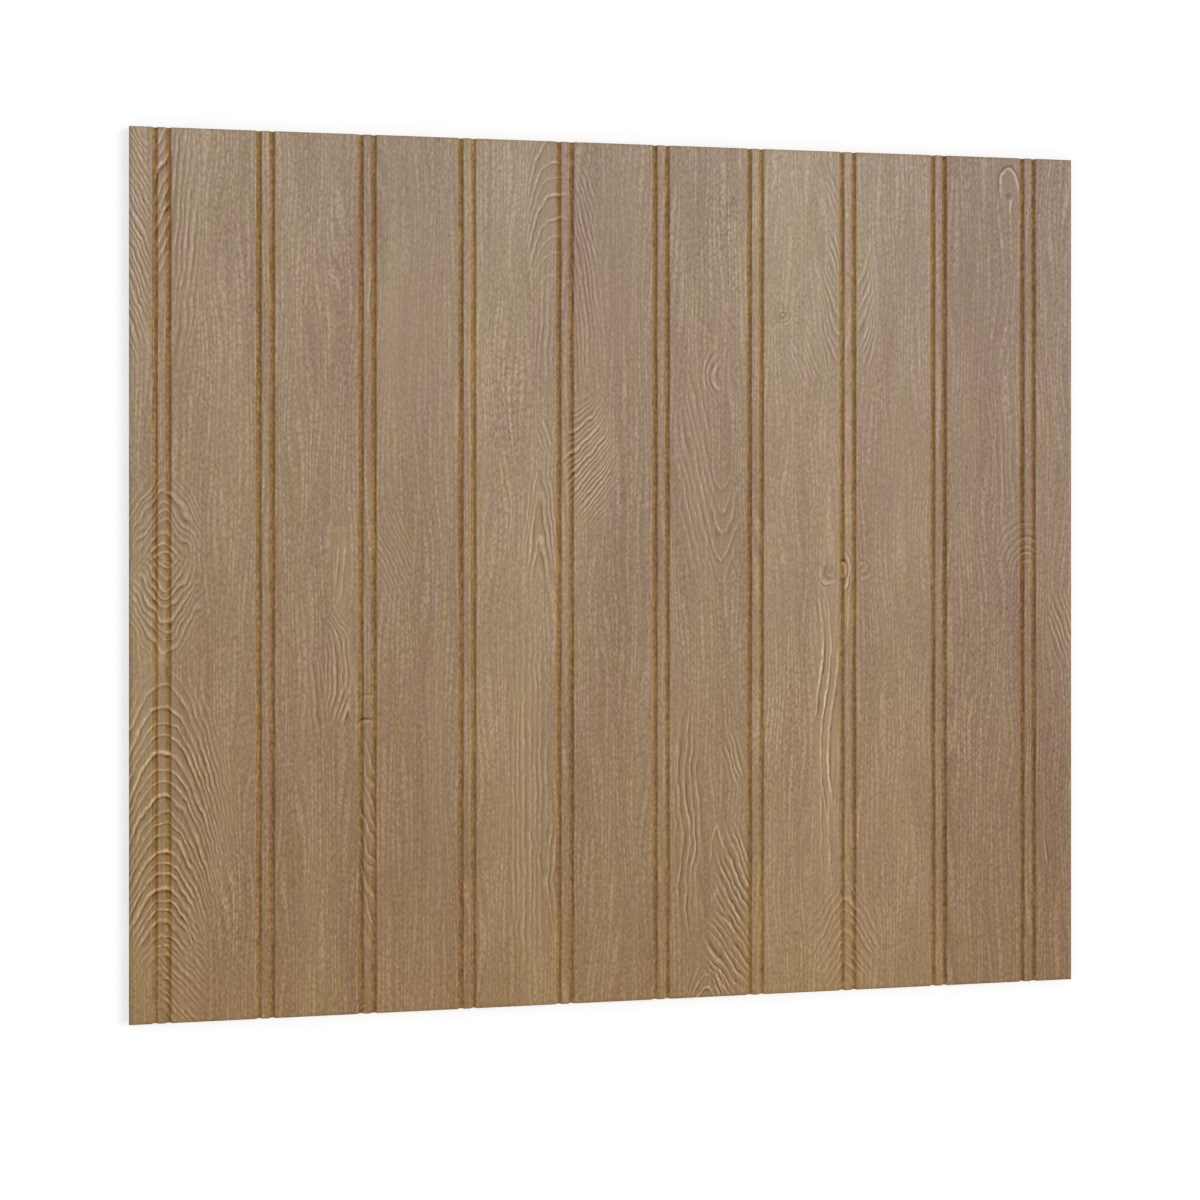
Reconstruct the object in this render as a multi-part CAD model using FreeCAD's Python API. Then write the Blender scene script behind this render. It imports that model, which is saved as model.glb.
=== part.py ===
"""Beadboard wainscot panel: one flat sheet, face up, with pairs of round-bottomed grooves run along its height.

Each pair leaves a narrow flat bead standing between its two grooves, level with the boards on either side.
Millimetres, +Z up. The origin is the middle of the back face, which lies on the floor.
+X runs across the beads, +Y along them towards the panel's top edge, +Z out of the beaded face.
"""

import FreeCAD, Part

import math
import os

# Driving dimensions of the sheet
panel_width = 1000.0
panel_height = 900.0
panel_thickness = 9.0

# Driving dimensions of the beads and their grooves
bead_pitch = 102.0
first_bead_inset = 31.7
bead_face_width = 6.3
groove_width = 6.8
groove_depth = 2.6
shoulder_radius = 0.7
least_edge_land = 3.0

# Where the beads lie, counted from the panel's left edge
left_edge = -panel_width / 2
bead_half_span = bead_face_width / 2 + groove_width
groove_offset = (bead_face_width + groove_width) / 2
beading_room = panel_width - first_bead_inset - bead_half_span - least_edge_land
bead_count = int(beading_room // bead_pitch) + 1

# A groove's flank: a convex shoulder arc runs tangent into the concave bottom arc, both turning by flank_turn.
# A groove deeper than half its width keeps that half as the arcs and gains an upright wall between them.
flank_turn = min(math.pi / 2, 2 * math.atan(2 * groove_depth / groove_width))
flank_radius = groove_width / 2 / math.sin(flank_turn)
bottom_radius = flank_radius - shoulder_radius
upright_wall = groove_depth - flank_radius * (1 - math.cos(flank_turn))

closed_gap = 1e-6


def point(x, z):
    """A point of the panel's section, which is drawn at the bottom end of the sheet."""
    return FreeCAD.Vector(x, -panel_height / 2, z)


def line(start, end):
    return Part.LineSegment(start, end).toShape()


def arc(centre, radius, start_turn, end_turn):
    """An arc of the section. Turns are measured from straight up, towards +X."""
    on_arc = [
        point(centre.x + radius * math.sin(turn), centre.z + radius * math.cos(turn))
        for turn in (start_turn, (start_turn + end_turn) / 2, end_turn)
    ]
    return Part.Arc(*on_arc).toShape()


def groove(middle):
    """The edges of one groove from left to right: shoulder, bottom and shoulder, with any upright walls."""
    half_width = groove_width / 2
    shoulder_z = panel_thickness - shoulder_radius
    bottom_z = panel_thickness - groove_depth + bottom_radius
    left_shoulder = arc(point(middle - half_width, shoulder_z), shoulder_radius, 0, flank_turn)
    bottom = arc(point(middle, bottom_z), bottom_radius, math.pi + flank_turn, math.pi - flank_turn)
    right_shoulder = arc(point(middle + half_width, shoulder_z), shoulder_radius, -flank_turn, 0)
    edges = [left_shoulder, bottom, right_shoulder]
    if upright_wall > closed_gap:
        left_wall = line(left_shoulder.valueAt(left_shoulder.LastParameter),
                         bottom.valueAt(bottom.FirstParameter))
        right_wall = line(bottom.valueAt(bottom.LastParameter),
                          right_shoulder.valueAt(right_shoulder.FirstParameter))
        edges = [left_shoulder, left_wall, bottom, right_wall, right_shoulder]
    return edges


def groove_middles():
    """The grooves' centre lines from left to right, two for each bead."""
    for n in range(bead_count):
        bead_middle = left_edge + first_bead_inset + n * bead_pitch
        yield bead_middle - groove_offset
        yield bead_middle + groove_offset


def section():
    """The closed outline of the sheet across its beads."""
    edges = []
    face_start = point(left_edge, panel_thickness)
    for middle in groove_middles():
        edges.append(line(face_start, point(middle - groove_width / 2, panel_thickness)))
        edges.extend(groove(middle))
        face_start = point(middle + groove_width / 2, panel_thickness)
    right_edge = left_edge + panel_width
    edges.append(line(face_start, point(right_edge, panel_thickness)))
    edges.append(line(point(right_edge, panel_thickness), point(right_edge, 0)))
    edges.append(line(point(right_edge, 0), point(left_edge, 0)))
    edges.append(line(point(left_edge, 0), point(left_edge, panel_thickness)))
    return Part.Wire(edges)


def beadboard_panel():
    """The sheet itself: its section drawn out along the beads for the panel's whole height."""
    return Part.Face(section()).extrude(FreeCAD.Vector(0, panel_height, 0))


def main():
    panel = beadboard_panel()
    os.makedirs("parts", exist_ok=True)
    panel.exportStep("parts/beadboard_panel.step")
    print("beads", bead_count, "groove bottom radius", round(bottom_radius, 3),
          "solids", len(panel.Solids), "valid", panel.isValid(), "volume", round(panel.Volume, 1))


main()
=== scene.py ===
"""Looks of the beadboard panel: a beaded sheet with a limed-oak face and a board core, light and camera."""

import math

import bpy
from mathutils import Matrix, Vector


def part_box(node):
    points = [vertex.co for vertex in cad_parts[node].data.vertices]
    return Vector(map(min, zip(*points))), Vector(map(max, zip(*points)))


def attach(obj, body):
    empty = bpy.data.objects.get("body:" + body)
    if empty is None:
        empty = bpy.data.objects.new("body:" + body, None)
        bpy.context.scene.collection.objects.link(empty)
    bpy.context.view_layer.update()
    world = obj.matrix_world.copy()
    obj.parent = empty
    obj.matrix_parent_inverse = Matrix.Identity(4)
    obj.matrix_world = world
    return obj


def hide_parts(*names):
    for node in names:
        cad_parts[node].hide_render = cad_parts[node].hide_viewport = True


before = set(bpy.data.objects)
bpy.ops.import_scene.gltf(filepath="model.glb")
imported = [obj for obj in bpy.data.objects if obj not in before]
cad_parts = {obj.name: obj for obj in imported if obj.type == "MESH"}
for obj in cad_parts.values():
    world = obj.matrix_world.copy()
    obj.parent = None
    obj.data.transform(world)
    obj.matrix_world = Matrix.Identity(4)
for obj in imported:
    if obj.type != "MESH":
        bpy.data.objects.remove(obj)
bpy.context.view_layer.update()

MM = 0.001

# Sizes of the sheet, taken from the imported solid
low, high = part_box("beadboard_panel")
panel_width = high.x - low.x
panel_height = high.y - low.y
panel_thickness = high.z - low.z

# Sizes of the beads and grooves
bead_pitch = 102.0 * MM
first_bead_inset = 31.7 * MM
bead_face_width = 6.3 * MM
groove_width = 6.8 * MM
groove_depth = 2.6 * MM
shoulder_radius = 0.7 * MM
least_edge_land = 3.0 * MM

# How many beads fit, and the flat land that is left between and after them
bead_half_span = bead_face_width / 2 + groove_width
beading_room = panel_width - first_bead_inset - bead_half_span - least_edge_land
bead_count = int(beading_room // bead_pitch) + 1
land_width = bead_pitch - 2 * bead_half_span
last_land_width = panel_width - first_bead_inset - (bead_count - 1) * bead_pitch - bead_half_span

# How many columns of faces cross each part of the section, and how many rows run along the beads
shoulder_columns = 2
bottom_columns = 6
bead_columns = 4
land_columns = 20
margin_columns = 6
rows = 200
groove_columns = 2 * shoulder_columns + bottom_columns
beading_columns = 2 * groove_columns + bead_columns
unit_columns = beading_columns + land_columns
last_land_columns = math.ceil(land_columns * last_land_width / land_width) + 1
columns = margin_columns + (bead_count - 1) * unit_columns + beading_columns + last_land_columns

# Width of the columns at a flat strip's ends, and the gap under which points of the sheet are merged
narrow_column = 0.4 * MM
seam = 0.005 * MM

# How the wood varies, from the finest change to the slowest: the size of each change in millimetres
# across and along the grain, where the noise is cut, and how much finer noise is added to it
pore_noise = dict(width=2.3, length=3.8, seed=11.0, detail=0.3)
ripple_noise = dict(width=7.0, length=10.0, seed=12.0, detail=0.0)
mauve_noise = dict(width=8.0, length=55.0, seed=21.0, detail=1.0)
wander_noise = dict(width=12.0, length=26.0, seed=15.0, detail=0.0)
bend_noise = dict(width=15.0, length=140.0, seed=17.0, detail=0.0)
lean_noise = dict(width=60.0, length=190.0, seed=1.0, detail=1.0)
streak_noise = dict(width=14.0, length=420.0, seed=13.0, detail=0.0)
cloud_noise = dict(width=42.0, length=260.0, seed=14.0, detail=0.0)
mottle_noise = dict(width=2.0, length=2.0, seed=3.0, detail=2.0)

# The noise is cut at a slant, so that its cells don't line up with the sheet
noise_slant = (-0.6155, 0.785, 0.3)

# How far the grain drifts sideways as it leans and bends, in millimetres
lean_reach = 16.0
bend_reach = 18.0

# Spacing of the fine grain lines, how soon they come and go along the grain, and how faint they get
grain_spacing = 4.8
grain_waver = 30.0
least_grain = 0.4

# A line of the figure, in millimetres from its middle: its pale crest, and beyond it on one side a dark band
# of painted shade
line_middle = 0.2
line_edge = 2.1
shade_start = 0.6
shade_middle = 2.0
shade_end = 4.8
shade_depth = 0.55

# How soon the figure's lines come and go, how faint they get, and how far ripples push them
figure_waver = 18.0
least_figure = 0.45
ripple_push = 2.0
ripple_waver = 6.0

# The figure's lines stand now closer, now wider: by how much of their spacing, and how soon that changes
spacing_sway = 0.13
spacing_pace = 1.9

# Close lines are darkened together by this gain, up to a limit, so that the figure is no paler than the wood
level_gain = 5.5
most_level = 0.38

# How strongly the pores and the grain lines show, and the lines' own mean, which is taken off
pore_weight = 1.8
grain_weight = 0.85
grain_mean = 0.36

# How much each change lightens or tints the wood, as a share of its colour
pore_tint = 0.36
figure_tint = 0.25
groove_figure_tint = 0.12
tone_tint = 0.12
mauve_tint = 0.3
mauve_green = -0.25
cool_tint = 0.1

# How much of each change goes to red, green and blue
pore_shares = (1.0, 1.2, 1.45)
figure_shares = (1.0, 1.22, 1.38)
tone_shares = (1.0, 1.3, 1.15)

# How strongly clouds and long streaks change the tone, and how far the pores fray the stain's edge
cloud_tone = 1.2
streak_tone = 1.4
stain_fray = 2.5

# How high the figure stands, and how much of that the pores have
grain_relief = 0.3 * MM
pore_relief = 2.0

# The studio, in metres and degrees: a floor just under the sheet, one broad key light and a surround
floor_reach = 12.0
floor_gap = 0.2 * MM
glow_strength = 1.15
glow_share = 0.45
key_place = (3.0, 0.6, 2.5)
key_spread = 25.0
key_strength = 1.25
air_light = 0.75

# The camera: its lens and sensor in millimetres, its shift as a share of the picture, its place in metres
camera_lens = 45.0
camera_sensor = 36.0
camera_shift = -0.0755
camera_turn = math.radians(8.482)
camera_place = (-0.2552, 0.0662, 1.554 + panel_thickness)


def linear(red, green, blue):
    """A colour written as display values from 0 to 255, as the linear values that shaders take."""
    def channel(value):
        value /= 255
        return value / 12.92 if value <= 0.04045 else ((value + 0.055) / 1.055) ** 2.4
    return channel(red), channel(green), channel(blue), 1.0


# Colours of the wood at the sheet's top and foot, of the stain in its grooves, and of its core
oak_top = linear(156, 135.5, 116)
oak_foot = linear(144.5, 116, 82.5)
groove_stain = linear(145, 111, 69)
core_dark = linear(150, 118, 84)
core_pale = linear(172, 140, 104)
white = (1.0, 1.0, 1.0, 1.0)
floor_paper = (0.9, 0.9, 0.9, 1.0)


def into_scene(piece):
    """Puts an object into the scene and hands it on."""
    bpy.context.scene.collection.objects.link(piece)
    return piece


def plug(socket, value):
    """Links a value to a socket, or writes a constant on it."""
    if isinstance(value, Value):
        socket.id_data.links.new(value.socket, socket)
    else:
        socket.default_value = value


def calc(operation, *inputs, clamp=False):
    """Adds a Math node for an operation on values and numbers."""
    tree = next(i.socket.id_data for i in inputs if isinstance(i, Value))
    node = tree.nodes.new("ShaderNodeMath")
    node.operation = operation
    node.use_clamp = clamp
    for socket, value in zip(node.inputs, inputs):
        plug(socket, value)
    return Value(node.outputs[0])


class Value:
    """A node's output that joins in Python arithmetic by adding Math nodes beside it."""

    def __init__(self, socket):
        self.socket = socket

    def __add__(self, other):
        return calc("ADD", self, other)

    def __radd__(self, other):
        return calc("ADD", other, self)

    def __sub__(self, other):
        return calc("SUBTRACT", self, other)

    def __rsub__(self, other):
        return calc("SUBTRACT", other, self)

    def __mul__(self, other):
        return calc("MULTIPLY", self, other)

    def __rmul__(self, other):
        return calc("MULTIPLY", other, self)

    def __truediv__(self, other):
        return calc("DIVIDE", self, other)

    def __rtruediv__(self, other):
        return calc("DIVIDE", other, self)

    def __neg__(self):
        return calc("MULTIPLY", self, -1.0)

    def sin(self):
        return calc("SINE", self)

    def cos(self):
        return calc("COSINE", self)

    def root(self):
        return calc("SQRT", self)

    def floor(self):
        return calc("FLOOR", self)

    def nearest(self):
        return calc("ROUND", self)

    def size(self):
        return calc("ABSOLUTE", self)

    def least(self, other):
        return calc("MINIMUM", self, other)

    def most(self, other):
        return calc("MAXIMUM", self, other)

    def share(self):
        return calc("ADD", self, 0.0, clamp=True)

    def fade(self, start, end, first=0.0, last=1.0):
        """Runs smoothly from one number at start to another at end."""
        tree = self.socket.id_data
        node = tree.nodes.new("ShaderNodeMapRange")
        node.interpolation_type = "SMOOTHSTEP"
        if start > end:
            start, end, first, last = end, start, last, first
        inputs = {"Value": self, "From Min": start, "From Max": end, "To Min": first, "To Max": last}
        for name, value in inputs.items():
            plug(node.inputs[name], value)
        return Value(node.outputs["Result"])


class Graph:
    """A node tree that nodes are added to with their settings and socket values in one step."""

    def __init__(self, tree):
        self.tree = tree

    def add(self, kind, settings=None, inputs=None, output=None):
        """Adds a node, and gives the output that is named or numbered, or else the node itself."""
        node = self.tree.nodes.new(kind)
        for name, value in (settings or {}).items():
            setattr(node, name, value)
        for name, value in (inputs or {}).items():
            plug(node.inputs[name], value)
        return node if output is None else Value(node.outputs[output])

    def split(self, vector):
        node = self.add("ShaderNodeSeparateXYZ", inputs={"Vector": vector})
        return tuple(Value(node.outputs[axis]) for axis in "XYZ")

    def vector(self, x=0.0, y=0.0, z=0.0):
        return self.add("ShaderNodeCombineXYZ", inputs={"X": x, "Y": y, "Z": z}, output="Vector")

    def noise(self, u, v, width, length, seed, detail):
        """Smooth noise from -0.5 to 0.5 over two coordinates, with changes of a width and a length."""
        place = self.add("ShaderNodeVectorRotate", {"rotation_type": "EULER_XYZ"}, {
            "Vector": self.vector(u / width, v / length, seed), "Rotation": noise_slant}, "Vector")
        noise = self.add("ShaderNodeTexNoise", {"noise_dimensions": "3D"}, {
            "Vector": place, "Scale": 1.0, "Detail": detail}, "Fac")
        return noise - 0.5


# Patterns of the oak's figure, in millimetres from the panel's left edge and from its top edge.
# A pattern counts lines as it is crossed, so each whole number is one pale line.
def arches(u, v, heart, top, steep, roundness, spacing):
    """Nested arches that open downwards from the heart, or upwards where steep is negative."""
    aside = u - heart
    return (v - top - steep * ((aside * aside + roundness * roundness).root() - roundness)) / spacing


def vaults(u, v, heart, top, bow, curl, quicken, spacing):
    """Flat-topped arches that turn steep at their feet and stand closer as they go down."""
    square = (u - heart) * (u - heart)
    along = v - top - bow * square - curl * square * square
    return along * (1.0 + quicken * along) / spacing


def hooks(u, v, start, height, rise, gain, curl, ease, spacing):
    """Lines that climb to the right and hook upwards, less so further down."""
    aside = u - start
    along = v - height
    return (along + (rise + gain * along) * aside + (curl - ease * along) * aside * aside) / spacing


def rings(u, v, middle, height, stretch, spacing):
    """Closed rings around a knot, stretched along the grain."""
    aside = u - middle
    along = (v - height) / stretch
    return (aside * aside + along * along).root() / spacing


def slants(u, v, start, height, slope, bow, spacing):
    """Lines that run along the grain and lean sideways by slope, or bow as bow grows."""
    along = v - height
    return (u - start - slope * along - bow * along * along) / spacing


def waves(u, v, start, height, sway, length, spacing):
    """Lines that run along the grain and sway from side to side."""
    return (u - start - sway * ((v - height) / length).sin()) / spacing


# How far a line of the figure wanders, in millimetres
usual_unevenness = 4.5

# Each entry gives its layer, the pattern and its sizes, then the middle, height, reach and length
# of the place it shows in, and how strongly it shows. A last number says how unevenly its lines run,
# in millimetres, where that isn't the usual. Places in one layer keep clear of each other.
figures = [
    # first bead: leaning lines at the top, an eye, and the tall cathedral below it
    ("a", slants, dict(start=0, height=130, slope=0.42, bow=-0.0006, spacing=4.8), (4, 110, 21, 155), 1.7),
    ("b", slants, dict(start=33, height=70, slope=-0.5, bow=0, spacing=8.5), (32, 76, 10, 96), 1.8),
    ("a", slants, dict(start=50, height=110, slope=-0.09, bow=0, spacing=5.6), (54, 105, 20, 155), 1.1),
    ("a", arches, dict(heart=34, top=386, steep=1.6, roundness=8, spacing=10), (33, 396, 46, 58), 1.3, 11),
    ("b", arches, dict(heart=36, top=474, steep=-1.8, roundness=8, spacing=10.5), (35, 480, 44, 66), 1.4, 11),
    ("a", vaults, dict(heart=33, top=545, bow=0.041, curl=0, quicken=0.0011, spacing=18),
     (33, 698, 82, 182), 1.9, 5.5),
    ("b", arches, dict(heart=10, top=745, steep=1.15, roundness=9, spacing=8.0), (52, 850, 31, 82), 1.0),
    # second board: the bright swirl beside the third bead, and hatching beyond it
    ("b", slants, dict(start=215, height=550, slope=0, bow=-0.0038, spacing=5.2), (206, 554, 19, 64), 1.4, 6),
    ("a", slants, dict(start=213, height=578, slope=-0.36, bow=0, spacing=6.5), (213, 578, 8, 30), 1.8, 6),
    ("a", vaults, dict(heart=237, top=573, bow=0.03, curl=0, quicken=0, spacing=29),
     (234, 588, 13, 24), -1.3),
    ("a", slants, dict(start=206, height=506, slope=0.7, bow=0, spacing=5.0), (205, 502, 13, 20), 1.2),
    ("b", slants, dict(start=210, height=455, slope=-0.12, bow=0, spacing=8.0), (209, 447, 10, 38), 1.8),
    ("a", slants, dict(start=192, height=560, slope=0.1, bow=0, spacing=5.6), (186, 575, 16, 50), 0.9),
    ("a", slants, dict(start=262, height=430, slope=0.47, bow=0, spacing=4.8), (262, 430, 24, 62), 0.8),
    ("b", slants, dict(start=236, height=730, slope=0.38, bow=0, spacing=7.4), (236, 730, 11, 150), 1.1, 11),
    ("a", slants, dict(start=237, height=165, slope=0, bow=0, spacing=30), (237, 165, 7, 26), 1.3),
    # fifth bead: arches at the top, a whorl on its right, and a narrow arch with leaning lines on its left
    ("a", vaults, dict(heart=440, top=38, bow=0, curl=2.5e-5, quicken=0, spacing=20),
     (417, 66, 30, 98), 1.35),
    ("b", slants, dict(start=410, height=170, slope=-0.05, bow=0, spacing=6.0), (417, 200, 15, 80), 0.8),
    ("b", slants, dict(start=448, height=20, slope=0.36, bow=-0.0008, spacing=4.8), (461, 140, 18, 155), 1.1),
    ("a", hooks, dict(start=450, height=286, rise=0.5, gain=0.009, curl=0.02, ease=0.00022, spacing=7.0),
     (467, 335, 33, 82), 2.0, 3),
    ("b", slants, dict(start=417, height=308, slope=0.35, bow=0, spacing=5.2), (418, 308, 12, 26), 1.0),
    ("b", arches, dict(heart=413, top=333, steep=8.0, roundness=3, spacing=36), (414, 400, 24, 78), 1.4),
    ("a", slants, dict(start=408, height=680, slope=0, bow=0, spacing=5.8), (402, 690, 30, 235), 1.0),
    ("b", slants, dict(start=421, height=765, slope=0, bow=0.0021, spacing=6.5), (425, 768, 9, 76), 1.6),
    # sixth board: a nest of V lines, a loop above it and the leaning cathedral at the bottom
    ("a", slants, dict(start=580, height=310, slope=0.22, bow=0, spacing=6.6), (578, 345, 23, 135), 0.9),
    ("b", arches, dict(heart=607, top=462, steep=-4.0, roundness=6, spacing=25), (606, 402, 24, 82), 0.95, 8),
    ("b", rings, dict(middle=609, height=241, stretch=1.5, spacing=5.4), (596, 240, 14, 32), 1.3, 6),
    ("a", slants, dict(start=618, height=775, slope=0.45, bow=0.0012, spacing=6.8),
     (619, 775, 24, 72), 2.1, 5),
    ("b", slants, dict(start=614, height=850, slope=0.74, bow=0, spacing=9.0), (614, 854, 32, 60), 2.0, 7),
    ("b", arches, dict(heart=601, top=718, steep=6, roundness=2, spacing=78), (601, 752, 10, 54), 1.8, 5),
    ("a", vaults, dict(heart=590, top=875, bow=0.11, curl=0, quicken=0, spacing=16), (591, 893, 27, 34), 2.0),
    ("a", slants, dict(start=620, height=650, slope=0.28, bow=0, spacing=5.0), (620, 648, 15, 38), 1.5),
    ("a", waves, dict(start=575, height=690, sway=2.5, length=22, spacing=6.6), (570, 712, 19, 155), 1.6, 7),
    # eighth bead: a pin knot, a tall eye, a knot with bright streaks below, and arches at the bottom
    ("a", rings, dict(middle=674, height=176, stretch=1.2, spacing=4.4), (676, 180, 13, 15), 0.6, 12),
    ("b", slants, dict(start=673.5, height=175, slope=0.3, bow=0, spacing=30), (673.5, 175, 5, 8), 1.6),
    ("b", vaults, dict(heart=684, top=166, bow=-0.12, curl=0, quicken=0, spacing=14),
     (685, 150, 13, 28), 0.5, 8),
    ("a", slants, dict(start=700, height=215, slope=0.4, bow=0, spacing=5.6), (696, 221, 26, 40), 0.7),
    ("a", slants, dict(start=727, height=43, slope=0.42, bow=0, spacing=6.0), (728, 44, 9, 30), 1.4),
    ("a", slants, dict(start=731, height=110, slope=0.28, bow=0, spacing=6.0), (730, 110, 9, 32), 1.3),
    ("b", vaults, dict(heart=745, top=216, bow=-0.067, curl=-8e-6, quicken=0, spacing=17),
     (722, 180, 19, 72), 1.1),
    ("b", vaults, dict(heart=745, top=235, bow=-0.067, curl=-8e-6, quicken=0, spacing=17),
     (772, 175, 19, 86), 1.4),
    ("a", rings, dict(middle=725, height=451, stretch=1.3, spacing=4.8), (719, 457, 13, 19), 1.3, 9),
    ("a", rings, dict(middle=740, height=449, stretch=2.5, spacing=3.5), (746, 449, 10, 28), 2.2, 4),
    ("a", rings, dict(middle=762, height=446, stretch=1.3, spacing=4.4), (765, 447, 9, 17), 1.3, 10),
    ("a", slants, dict(start=714, height=490, slope=0.25, bow=0, spacing=6.0), (715, 494, 11, 18), 1.6, 8),
    ("b", waves, dict(start=720.5, height=465, sway=6, length=38, spacing=10), (723, 595, 17, 135), 2.8, 3),
    ("a", slants, dict(start=716, height=745, slope=0.01, bow=0, spacing=10), (721, 730, 12, 60), 2.0, 6),
    ("a", slants, dict(start=746, height=492, slope=0, bow=0, spacing=30), (746, 492, 7, 24), 1.8),
    ("a", slants, dict(start=757, height=722, slope=0, bow=0, spacing=30), (757, 722, 7, 20), 1.7),
    ("a", arches, dict(heart=743, top=775, steep=1.7, roundness=6, spacing=12), (743, 842, 46, 74), 1.1, 8),
    # last boards: a narrow loop at the top, and rings beside the tenth bead
    ("a", rings, dict(middle=927.5, height=42, stretch=2.75, spacing=12.5), (927, 20, 20, 38), 1.7),
    ("b", slants, dict(start=929, height=54, slope=0, bow=0, spacing=30), (929, 54, 7, 11), 2.0),
    ("a", slants, dict(start=970, height=750, slope=0.1, bow=0, spacing=30), (970, 750, 8, 30), 2.0),
    ("a", slants, dict(start=925, height=330, slope=0.03, bow=0, spacing=6.0), (924, 325, 20, 66), 0.8),
    ("b", rings, dict(middle=949, height=458, stretch=1.5, spacing=5.6), (938, 420, 30, 42), 1.0, 6),
    ("a", slants, dict(start=984, height=515, slope=0.36, bow=0, spacing=5.6), (987, 512, 18, 50), 1.4),
]

# How much paler or darker each board is, from the left edge to the right
board_tints = (0.35, 0.05, -0.05, -0.1, 0.6, 0.0, 0.2, 1.0, 0.55, -0.2, -0.35)

# Patches that are paler or darker than their board: middle, height, reach, length and tint
tone_zones = [
    (14, 590, 24, 150, 0.6),
    (160, 80, 30, 140, 0.3),
    (205, 560, 26, 80, 0.4),
    (255, 80, 48, 140, -0.5),
    (285, 720, 32, 230, -0.5),
    (150, 740, 45, 160, -0.3),
    (345, 150, 20, 220, 0.6),
    (345, 590, 24, 180, 0.6),
    (480, 100, 55, 220, -0.5),
    (490, 560, 36, 260, -0.4),
    (600, 60, 42, 100, -0.4),
    (690, 100, 50, 160, 0.4),
    (715, 590, 36, 220, 0.4),
    (726, 530, 6, 36, 0.9),
    (721, 580, 6, 30, 0.9),
    (715, 640, 6, 44, 0.9),
    (716, 710, 6, 40, 0.6),
    (728, 600, 6, 30, 0.9),
    (727, 650, 6, 40, 0.9),
    (727, 720, 6, 44, 0.7),
    (589, 790, 10, 84, -1.0),
    (900, 100, 60, 260, -0.3),
    (930, 480, 28, 100, -0.5),
    (890, 800, 60, 220, -0.5),
    (985, 720, 30, 220, -0.3),
    # dark hearts of the knots
    (724, 450, 11, 12, -2.6),
    (673, 176, 13, 14, -1.8),
    # spots where the lime lies thick
    (33, 170, 5, 14, 1.5),
    (32, 532, 6, 13, 2.2),
    (33, 462, 5, 9, 1.6),
    (8, 456, 6, 11, 1.3),
    (5, 470, 5, 10, 1.3),
    (16, 450, 5, 10, 1.0),
    (430, 829, 6, 9, 1.5),
    (212, 425, 6, 36, 1.3),
    (208, 472, 6, 26, 1.3),
    (747, 490, 5, 30, 1.2),
    # stretches of groove where the stain is rubbed thin
    (25, 515, 6, 70, 1.6),
    (754, 490, 6, 34, 2.0),
    (754, 388, 6, 30, 1.2),
    (241, 408, 6, 40, 1.0),
    (855, 590, 6, 90, 0.8),
    (331, 600, 6, 60, 1.2),
]

# Patches where the pores stand out more, or less, than elsewhere
rough_zones = [
    (378, 285, 30, 120, 0.6),
    (98, 780, 32, 110, 0.6),
    (615, 90, 30, 110, 0.5),
    (500, 365, 26, 40, 0.5),
    (680, 620, 45, 140, 0.5),
    (715, 850, 70, 70, 0.4),
    (800, 800, 36, 80, 0.3),
    (880, 620, 45, 180, 0.3),
    (280, 180, 70, 290, -0.45),
    (495, 130, 45, 180, -0.45),
    (805, 330, 46, 180, -0.3),
    (885, 190, 50, 220, -0.3),
    (300, 690, 36, 230, -0.3),
]

# The figure lies in two layers, so that places can overlap. A place or a patch has these numbers.
layers = ("a", "b")
place_names = ["place across", "place along", "place reach", "place length", "weight"]

# Lines fade away towards the first number to a millimetre, and show in full below the second
crowded_lines = 0.42
clear_lines = 0.26

# A pattern shows in full over this share of its place, and fades from there to the edge
full_share = 0.5

# Stands in for the lines to a millimetre where there is no pattern, so that it can be divided by
least_fineness = 0.005


def near(u, v, middle, height, reach, length):
    """How far a point is from a place, as a share of the place's reach across and length along the grain."""
    across = (u - middle) / reach
    along = (v - height) / length
    return (across * across + along * along).root()


def make_group(name, inputs, outputs, rule):
    """A node group that holds a rule: named numbers go in, and the numbers that the rule returns come out."""
    tree = bpy.data.node_groups.new(name, "GeometryNodeTree")
    for title in inputs:
        tree.interface.new_socket(title, in_out="INPUT", socket_type="NodeSocketFloat")
    for title in outputs:
        tree.interface.new_socket(title, in_out="OUTPUT", socket_type="NodeSocketFloat")
    g = Graph(tree)
    source = g.add("NodeGroupInput")
    sink = g.add("NodeGroupOutput")
    results = rule(*(Value(source.outputs[title]) for title in inputs))
    for title, value in zip(outputs, results):
        plug(sink.inputs[title], value)
    return tree


def figure_group(pattern, size_names):
    """The node group of one pattern inside one place: the count of its lines, their strength and fineness."""
    def rule(u, v, place_u, place_v, reach, length, weight, *sizes):
        far = near(u, v, place_u, place_v, reach, length)
        inside = calc("LESS_THAN", far, 1.0)
        count = pattern(u, v, *sizes)
        across = pattern(u + 1.0, v, *sizes) - count
        along = pattern(u, v + 1.0, *sizes) - count
        fineness = (across * across + along * along).root()
        strength = far.fade(1.0, full_share) * fineness.fade(crowded_lines, clear_lines) * weight
        return count * inside, strength, fineness * inside

    inputs = ["u", "v"] + place_names + size_names
    return make_group(pattern.__name__, inputs, ["count", "strength", "fineness"], rule)


def patch_group():
    """The node group of one patch: its tint, which fades from its middle to its edge."""
    def rule(u, v, across, along, reach, length, tint):
        return [near(u, v, across, along, reach, length).fade(1.0, 0.0) * tint]

    return make_group("patch", ["u", "v"] + place_names, ["tint"], rule)


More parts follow.
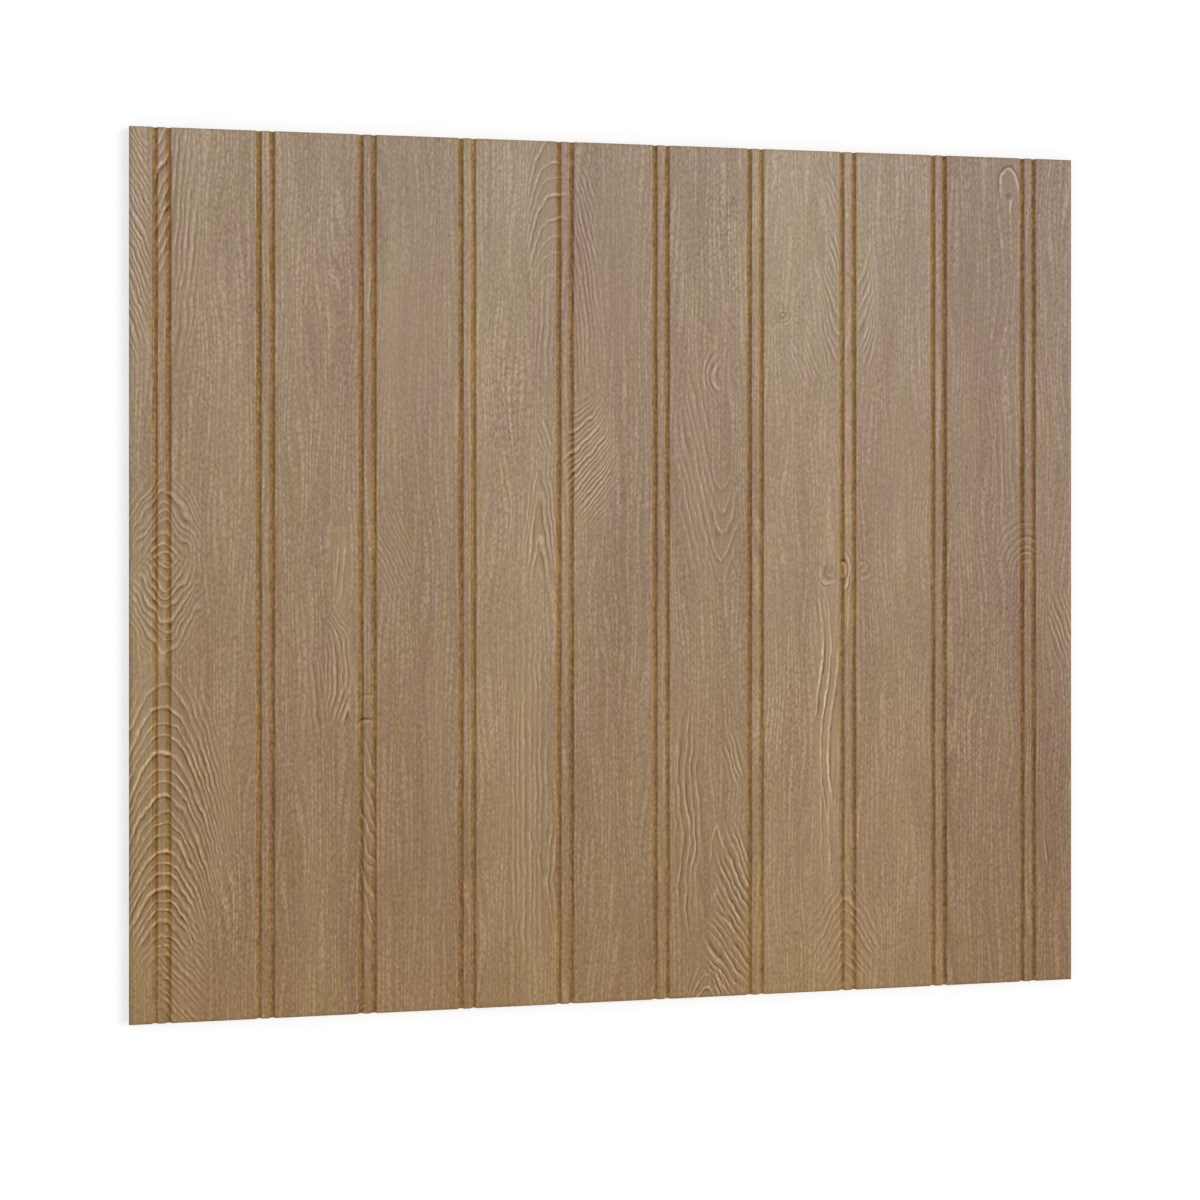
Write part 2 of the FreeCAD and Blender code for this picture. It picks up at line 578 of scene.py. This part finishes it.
def face_place(g, given, grid_x, grid_y):
    """Where a point of the flat grid lies on the face: columns walk across the section, rows along it."""
    half_groove = given["Groove width"] / 2.0
    turn = calc("ARCTANGENT", given["Groove depth"] / half_groove) * 2.0
    shoulder = given["Shoulder radius"]
    bottom = half_groove / turn.sin() - shoulder
    land = given["Bead pitch"] - 2.0 * given["Groove width"] - given["Bead face width"]
    margin = given["First bead inset"] - given["Bead face width"] / 2.0 - given["Groove width"]

    def groove(step):
        """How far across and how deep a groove has run after a number of columns."""
        first = turn * (step / shoulder_columns).share()
        middle = turn * (((step - shoulder_columns) / bottom_columns).share() * 2.0 - 1.0)
        last = turn * (1.0 - ((step - shoulder_columns - bottom_columns) / shoulder_columns).share())
        across = shoulder * (first.sin() + turn.sin() - last.sin()) + bottom * (middle.sin() + turn.sin())
        down = shoulder * (1.0 - first.cos() - last.cos() + turn.cos()) + bottom * (middle.cos() - turn.cos())
        return across, down

    def flat(step, count, width):
        """How far across a flat strip has run: its first and last columns are narrow, the others even."""
        ends = step.share() + (step - (count - 1.0)).share()
        return narrow_column * ends + (width - 2 * narrow_column) * ((step - 1.0) / (count - 2.0)).share()

    column = grid_x + columns / 2 - margin_columns
    unit = (column / unit_columns).floor().most(0.0)
    step = column - unit * unit_columns
    first_across, first_down = groove(step)
    second_across, second_down = groove(step - groove_columns - bead_columns)
    across = margin - narrow_column * (-column).share() + unit * given["Bead pitch"]
    across = across - (margin - narrow_column) * ((-column - 1.0) / (margin_columns - 1.0)).share()
    across = across + first_across + second_across
    across = across + flat(step - groove_columns, bead_columns, given["Bead face width"])
    across = across + flat(step - beading_columns, land_columns, land)
    x = across.least(given["Panel width"]) - given["Panel width"] / 2.0
    y = grid_y * (given["Panel height"] / float(rows))
    z = given["Panel thickness"] - first_down - second_down
    return g.vector(x, y, z)


def keep_on_face(g, face, name, x, y, z):
    """Keeps three numbers on each point of the face for its material to read."""
    return g.add("GeometryNodeStoreNamedAttribute", {"data_type": "FLOAT_VECTOR", "domain": "POINT"}, {
        "Geometry": face, "Name": name, "Value": g.vector(x, y, z)}, "Geometry")


def keep_figure(g, face, u, v):
    """Keeps each layer of the figure on the face: the count of its lines, their strength and fineness."""
    wander = g.noise(u, v, **wander_noise)
    groups = {}
    for layer in layers:
        count, strength, fineness = 0.0, 0.0, 0.0
        for name, pattern, shape, place, weight, *uneven in figures:
            if name != layer:
                continue
            if pattern not in groups:
                groups[pattern] = figure_group(pattern, list(shape))
            inputs = {"u": u, "v": v, **shape, **dict(zip(place_names, (*place, weight)))}
            node = g.add("GeometryNodeGroup", {"node_tree": groups[pattern]}, inputs)
            fine = Value(node.outputs["fineness"])
            unevenness = uneven[0] if uneven else usual_unevenness
            count = count + Value(node.outputs["count"]) + wander * fine * unevenness
            strength = strength + Value(node.outputs["strength"])
            fineness = fineness + fine
        face = keep_on_face(g, face, "figure_" + layer, count, strength, fineness.most(least_fineness))
    return face


def keep_slow_changes(g, face, u, v, given):
    """Keeps slow changes on the face: sideways drift of the grain, roughness of its pores, and tone."""
    drift = g.noise(u, v, **lean_noise) * lean_reach + g.noise(u, v, **bend_noise) * bend_reach
    tone = g.noise(u, v, **cloud_noise) * cloud_tone + g.noise(u + drift, v, **streak_noise) * streak_tone
    board = ((u - given["First bead inset"] / MM) / (given["Bead pitch"] / MM)).floor()
    for number, tint in enumerate(board_tints):
        tone = tone + calc("COMPARE", board, number - 1.0, 0.5) * tint
    rough = 1.0
    patch = patch_group()
    for zone in tone_zones:
        tone = tone + g.add("GeometryNodeGroup", {"node_tree": patch}, {
            "u": u, "v": v, **dict(zip(place_names, zone))}, "tint")
    for zone in rough_zones:
        rough = rough + g.add("GeometryNodeGroup", {"node_tree": patch}, {
            "u": u, "v": v, **dict(zip(place_names, zone))}, "tint")
    return keep_on_face(g, face, "slow", drift, rough, tone)


def close_sheet(g, face, core_material):
    """Drops the sawn edges from the face's outline to the floor, and closes them with the back."""
    # sockets that share a name with others on their node are told by number
    face_count = g.add("GeometryNodeInputMeshEdgeNeighbors", output="Face Count")
    first_whole, second_whole = 2, 3
    outline = g.add("FunctionNodeCompare", {"data_type": "INT", "operation": "EQUAL"}, {
        first_whole: face_count, second_whole: 1}, "Result")
    walls = g.add("GeometryNodeExtrudeMesh", {"mode": "EDGES"}, {
        "Mesh": face, "Selection": outline, "Offset Scale": 0.0})
    rim = Value(walls.outputs["Top"])
    sides = Value(walls.outputs["Side"])
    x, y, _ = g.split(g.add("GeometryNodeInputPosition", output="Position"))
    sheet = g.add("GeometryNodeSetPosition", inputs={
        "Geometry": Value(walls.outputs["Mesh"]), "Selection": rim,
        "Position": g.vector(x, y, 0.0)}, output="Geometry")
    sheet = g.add("GeometryNodeSetShadeSmooth", {"domain": "FACE"}, {
        "Geometry": sheet, "Selection": sides, "Shade Smooth": False}, "Geometry")
    sheet = g.add("GeometryNodeSetMaterial", inputs={
        "Geometry": sheet, "Selection": sides, "Material": core_material}, output="Geometry")
    back_edge = g.add("GeometryNodeMeshToCurve", inputs={"Mesh": sheet, "Selection": rim}, output="Curve")
    back = g.add("GeometryNodeFillCurve", {"mode": "NGONS"}, {"Curve": back_edge}, "Mesh")
    back = g.add("GeometryNodeFlipFaces", inputs={"Mesh": back}, output="Mesh")
    back = g.add("GeometryNodeSetMaterial", inputs={
        "Geometry": back, "Material": core_material}, output="Geometry")
    joined = g.add("GeometryNodeJoinGeometry")
    for piece in (back, sheet):
        plug(joined.inputs["Geometry"], piece)
    sheet = g.add("GeometryNodeMergeByDistance", inputs={
        "Geometry": Value(joined.outputs["Geometry"]), "Distance": seam}, output="Geometry")
    return g.add("GeometryNodeRealizeInstances", inputs={"Geometry": sheet}, output="Geometry")


def build_sheet_tree(face_material, core_material):
    """The rule that draws the sheet, and the value of each of its inputs by the input's identifier."""
    sizes = {
        "Panel width": panel_width,
        "Panel height": panel_height,
        "Panel thickness": panel_thickness,
        "Bead pitch": bead_pitch,
        "First bead inset": first_bead_inset,
        "Bead face width": bead_face_width,
        "Groove width": groove_width,
        "Groove depth": groove_depth,
        "Shoulder radius": shoulder_radius,
    }
    materials = {"Face material": face_material, "Core material": core_material}
    tree = bpy.data.node_groups.new("beaded sheet", "GeometryNodeTree")
    tree.is_modifier = True
    tree.interface.new_socket("Sheet", in_out="OUTPUT", socket_type="NodeSocketGeometry")
    values = {}
    for kind, group in (("NodeSocketFloat", sizes), ("NodeSocketMaterial", materials)):
        for name, value in group.items():
            socket = tree.interface.new_socket(name, in_out="INPUT", socket_type=kind)
            values[socket.identifier] = value
    g = Graph(tree)
    source = g.add("NodeGroupInput")
    given = {name: Value(source.outputs[name]) for name in (*sizes, *materials)}

    grid = g.add("GeometryNodeMeshGrid", inputs={
        "Size X": float(columns), "Size Y": float(rows),
        "Vertices X": columns + 1, "Vertices Y": rows + 1}, output="Mesh")
    grid_x, grid_y, _ = g.split(g.add("GeometryNodeInputPosition", output="Position"))
    face = g.add("GeometryNodeSetPosition", inputs={
        "Geometry": grid, "Position": face_place(g, given, grid_x, grid_y)}, output="Geometry")

    x, y, _ = g.split(g.add("GeometryNodeInputPosition", output="Position"))
    u = (x + given["Panel width"] / 2.0) / MM
    v = (given["Panel height"] / 2.0 - y) / MM
    face = keep_figure(g, face, u, v)
    face = keep_slow_changes(g, face, u, v, given)
    face = g.add("GeometryNodeSetShadeSmooth", {"domain": "FACE"}, {
        "Geometry": face, "Shade Smooth": True}, "Geometry")
    face = g.add("GeometryNodeSetMaterial", inputs={
        "Geometry": face, "Material": given["Face material"]}, output="Geometry")
    sink = g.add("NodeGroupOutput")
    plug(sink.inputs["Sheet"], close_sheet(g, face, given["Core material"]))
    return tree, values


def make_sheet(face_material, core_material):
    """The dressed sheet as a plain mesh object."""
    tree, values = build_sheet_tree(face_material, core_material)
    blank = into_scene(bpy.data.objects.new("sheet blank", bpy.data.meshes.new("sheet blank")))
    rule = blank.modifiers.new("beaded sheet", "NODES")
    rule.node_group = tree
    for identifier, value in values.items():
        rule[identifier] = value
    bpy.context.view_layer.update()
    shaped = blank.evaluated_get(bpy.context.evaluated_depsgraph_get())
    mesh = bpy.data.meshes.new_from_object(shaped)
    bpy.data.objects.remove(blank)
    mesh.name = "beadboard_sheet"
    return into_scene(bpy.data.objects.new("beadboard_sheet", mesh))


def new_material(name):
    """An empty material and the graph that its nodes are added to."""
    material = bpy.data.materials.new(name)
    material.use_nodes = True
    material.node_tree.nodes.clear()
    return material, Graph(material.node_tree)


def show(g, shader):
    """Makes a shader the surface of its material."""
    sink = g.add("ShaderNodeOutputMaterial")
    plug(sink.inputs["Surface"], shader)


def blend(g, share, first, second):
    """A colour between two colours."""
    first_colour, second_colour, result = 6, 7, 2
    return g.add("ShaderNodeMix", {"data_type": "RGBA", "blend_type": "MIX"}, {
        "Factor": share, first_colour: first, second_colour: second}, result)


def vigour(g, number, along, least):
    """How strongly a line shows, up to 1: each comes and goes along its length from a start of its own."""
    longest_start = 40.0
    start = g.add("ShaderNodeTexWhiteNoise", {"noise_dimensions": "1D"}, {"W": number}, "Value")
    return (along + start * longest_start).sin().fade(-0.8, 0.9, least, 1.0)


def oak_figure(g, u, v, ripple):
    """Crisp pale lines with painted shade on one side: how pale or shaded they are, how high they stand, how
    strongly they show.
    """
    lime_and_shade, height, strong = 0.0, 0.0, 0.0
    along = (u + v) / figure_waver + ripple * ripple_waver
    for layer in layers:
        stored = g.add("ShaderNodeAttribute", {"attribute_name": "figure_" + layer}, output="Vector")
        count, strength, fineness = g.split(stored)
        count = count + (count * spacing_pace).sin() * spacing_sway + ripple * fineness * ripple_push
        number = count.nearest()
        beside = (count - number) / fineness
        crest = beside.size().fade(line_edge, line_middle)
        # painted shade: a dark band on one side of each pale line, standing in for the shadow of its relief
        shade = beside.fade(shade_start, shade_middle, 0.0, shade_depth)
        shade = shade * beside.fade(shade_end, shade_middle)
        level = (fineness * fineness * level_gain).least(most_level)
        lime_and_shade = lime_and_shade + (crest - shade - level) * vigour(g, number, along, least_figure) * strength
        height = height + crest * strength
        strong = strong + strength
    return lime_and_shade, height, strong


def oak_face():
    """Limed oak: taupe wood with pale liming in its pores and figure, painted shade beside the figure's
    lines, and a brown stain in the grooves.
    """
    material, g = new_material("limed oak face")
    x, y, z = g.split(g.add("ShaderNodeTexCoord", output="Object"))
    u = (x + panel_width / 2) / MM
    v = (panel_height / 2 - y) / MM
    drift, rough, tone = g.split(g.add("ShaderNodeAttribute", {"attribute_name": "slow"}, output="Vector"))

    # pores, and fine straight lines of grain that the pores break up
    dots = g.noise(u, v, **pore_noise)
    ripple = g.noise(u, v, **ripple_noise)
    broken = dots.fade(-0.18, 0.15, 0.45, 1.05)
    count = (u + drift) / grain_spacing
    number = count.nearest()
    line = (count - number).size().fade(0.48, 0.05) * vigour(g, number, v / grain_waver, least_grain)
    pores = dots * pore_weight + (line - grain_mean) * broken * grain_weight
    lime_and_shade, height, strong = oak_figure(g, u, v, ripple)

    # the stain fills the grooves, and the pores fray its edges
    depth = (panel_thickness - z) / groove_depth
    stain = (depth * (1.0 + dots * stain_fray)).fade(0.02, 0.3)
    wood = blend(g, v / (panel_height / MM), oak_top, oak_foot)
    base = blend(g, stain, wood, groove_stain)

    # the changes to the colour: fine ones, the figure's pale lines with their painted shade, slow ones, and
    # cooler or warmer streaks
    fine = (pores * rough * strong.fade(0.0, 1.0, 1.0, 0.5) + stain * (dots + ripple)) * pore_tint
    # the figure's term holds its pale lines and also their painted shade
    pale = lime_and_shade * (broken + 0.7) * (figure_tint + stain * groove_figure_tint)
    slow = tone * tone_tint
    mauve = g.noise(u, v, **mauve_noise) * mauve_tint
    cool = (u / (panel_width / MM) - 0.5) * cool_tint + mauve
    channels = []
    tints = (0.0, mauve * mauve_green, cool)
    for pore_share, figure_share, tone_share, tint in zip(pore_shares, figure_shares, tone_shares, tints):
        channels.append(fine * pore_share + pale * figure_share + slow * tone_share + tint + 1.0)
    colour = g.add("ShaderNodeVectorMath", {"operation": "MULTIPLY"}, {
        0: base, 1: g.vector(*channels)}, "Vector")

    bump = g.add("ShaderNodeBump", inputs={
        "Strength": 0.4, "Distance": grain_relief, "Height": dots * pore_relief + height}, output="Normal")
    show(g, g.add("ShaderNodeBsdfPrincipled", inputs={
        "Base Color": colour, "Roughness": 0.65, "Specular IOR Level": 0.2, "Normal": bump}, output="BSDF"))
    return material


def board_core():
    """Fibreboard: plain pale brown with a faint mottle."""
    material, g = new_material("fibreboard core")
    x, y, z = g.split(g.add("ShaderNodeTexCoord", output="Object"))
    mottle = g.noise(x / MM, (y + z) / MM, **mottle_noise) + 0.5
    show(g, g.add("ShaderNodeBsdfPrincipled", inputs={
        "Base Color": blend(g, mottle, core_dark, core_pale),
        "Roughness": 0.85, "Specular IOR Level": 0.2}, output="BSDF"))
    return material


def seen_plainly(g):
    """1 for what is seen, straight or in gloss and glass, and 0 for what only lights the sheet."""
    path = g.add("ShaderNodeLightPath")
    straight, gloss, glass = (Value(path.outputs[ray]) for ray in (
        "Is Camera Ray", "Is Glossy Ray", "Is Transmission Ray"))
    return straight.most(gloss).most(glass)


def studio_floor():
    """A pale floor that shows white to the camera and keeps the sheet's shadow."""
    mesh = bpy.data.meshes.new("studio floor")
    corners = [(across * floor_reach, along * floor_reach, 0.0)
               for across, along in ((-1, -1), (1, -1), (1, 1), (-1, 1))]
    mesh.from_pydata(corners, [], [(0, 1, 2, 3)])
    floor = into_scene(bpy.data.objects.new("studio_floor", mesh))
    floor.location.z = -floor_gap
    material, g = new_material("studio floor")
    paper = g.add("ShaderNodeBsdfDiffuse", inputs={"Color": floor_paper}, output="BSDF")
    glow = g.add("ShaderNodeEmission", inputs={"Color": white, "Strength": glow_strength}, output="Emission")
    show(g, g.add("ShaderNodeMixShader", inputs={
        "Fac": seen_plainly(g) * glow_share, 1: paper, 2: glow}, output="Shader"))
    mesh.materials.append(material)
    return floor


def soft_light(name, place, spread, strength):
    """A broad even light that shines from a place towards the middle of the sheet."""
    lamp = bpy.data.lights.new(name, "SUN")
    lamp.angle = math.radians(spread)
    lamp.energy = strength
    light = into_scene(bpy.data.objects.new(name, lamp))
    light.location = place
    light.rotation_euler = (-Vector(place)).to_track_quat("-Z", "Y").to_euler()


def studio_air():
    """A white surround that lights the sheet a little less brightly than it shows."""
    world = bpy.data.worlds.new("studio air")
    world.use_nodes = True
    air = world.node_tree.nodes["Background"]
    plug(air.inputs["Color"], white)
    plug(air.inputs["Strength"], seen_plainly(Graph(world.node_tree)) * (1.0 - air_light) + air_light)
    bpy.context.scene.world = world


def stand_camera():
    """The camera hangs over the sheet a little to its left, and turns to the right to look down on it."""
    lens = bpy.data.cameras.new("camera")
    lens.lens = camera_lens
    lens.sensor_width = camera_sensor
    lens.shift_y = camera_shift
    camera = into_scene(bpy.data.objects.new("camera", lens))
    camera.location = camera_place
    camera.rotation_euler = (0.0, -camera_turn, 0.0)
    bpy.context.scene.camera = camera


sheet = make_sheet(oak_face(), board_core())
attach(sheet, "root")
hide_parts("beadboard_panel")

studio_floor()
soft_light("key light from the right", key_place, key_spread, key_strength)
studio_air()
stand_camera()
bpy.context.scene.view_settings.view_transform = "Standard"
